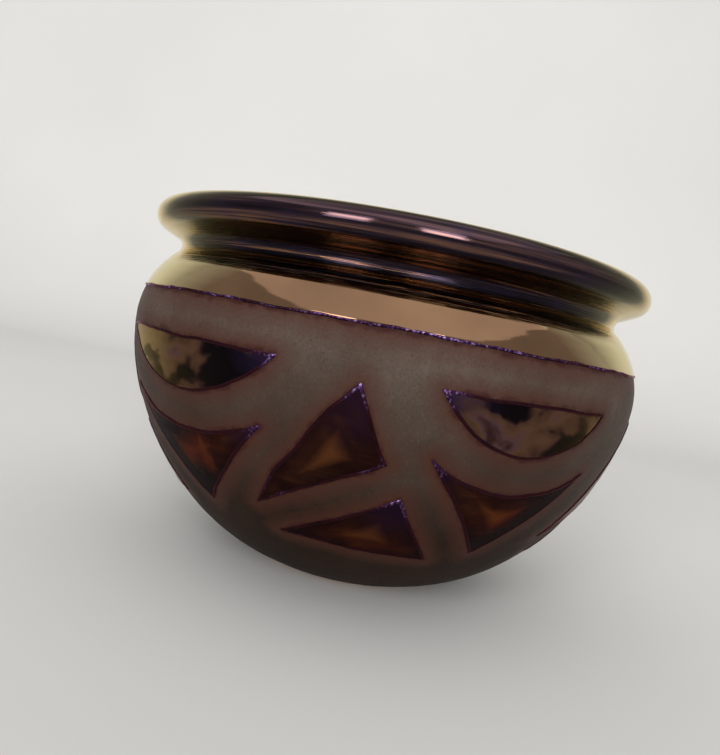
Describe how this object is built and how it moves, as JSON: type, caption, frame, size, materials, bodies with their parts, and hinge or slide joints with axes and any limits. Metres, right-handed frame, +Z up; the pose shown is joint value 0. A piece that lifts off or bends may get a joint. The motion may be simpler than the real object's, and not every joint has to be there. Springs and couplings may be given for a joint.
{
  "type": "lustre glazed pottery jar",
  "caption": "Round-bellied clay jar with a tight throat, a rolled flared rim and a small flat foot; lustre collar over a matte ground with glossy geometric panels.",
  "frame": {"origin": "middle of the flat foot, on the surface that the jar stands on", "axes": "+Z up along the axis of the jar, -Y towards the viewer of the picture, +X to the right"},
  "size_m": [0.1521, 0.1521, 0.0976],
  "materials": {
    "fired_clay": "bare fired clay",
    "matte_glaze": "matte, finely speckled",
    "lustre_glaze": "mirror-like metallic lustre",
    "panel_glaze": "glossy dark red-brown lustre",
    "bead_glaze": "rolled glaze edge with a violet sheen",
    "liner_glaze": "glossy lustre"
  },
  "bodies": {
    "root": {"jar_body": "fired_clay", "liner_glaze": "liner_glaze", "lustre_collar": "lustre_glaze", "shoulder_bead": "bead_glaze", "matte_ground": "matte_glaze", "half_moon_panel_1": "lustre_glaze", "half_moon_panel_2": "lustre_glaze", "half_moon_panel_3": "lustre_glaze", "half_moon_panel_4": "lustre_glaze", "half_moon_panel_5": "lustre_glaze", "swag_panel_1": "panel_glaze", "swag_panel_2": "panel_glaze", "swag_panel_3": "panel_glaze", "swag_panel_4": "panel_glaze", "swag_panel_5": "panel_glaze", "upper_triangle_panel_1": "panel_glaze", "upper_triangle_panel_2": "panel_glaze", "upper_triangle_panel_3": "panel_glaze", "upper_triangle_panel_4": "panel_glaze", "upper_triangle_panel_5": "panel_glaze", "lower_triangle_panel_1": "panel_glaze", "lower_triangle_panel_2": "panel_glaze", "lower_triangle_panel_3": "panel_glaze", "lower_triangle_panel_4": "panel_glaze", "lower_triangle_panel_5": "panel_glaze"}
  },
  "joints": []
}
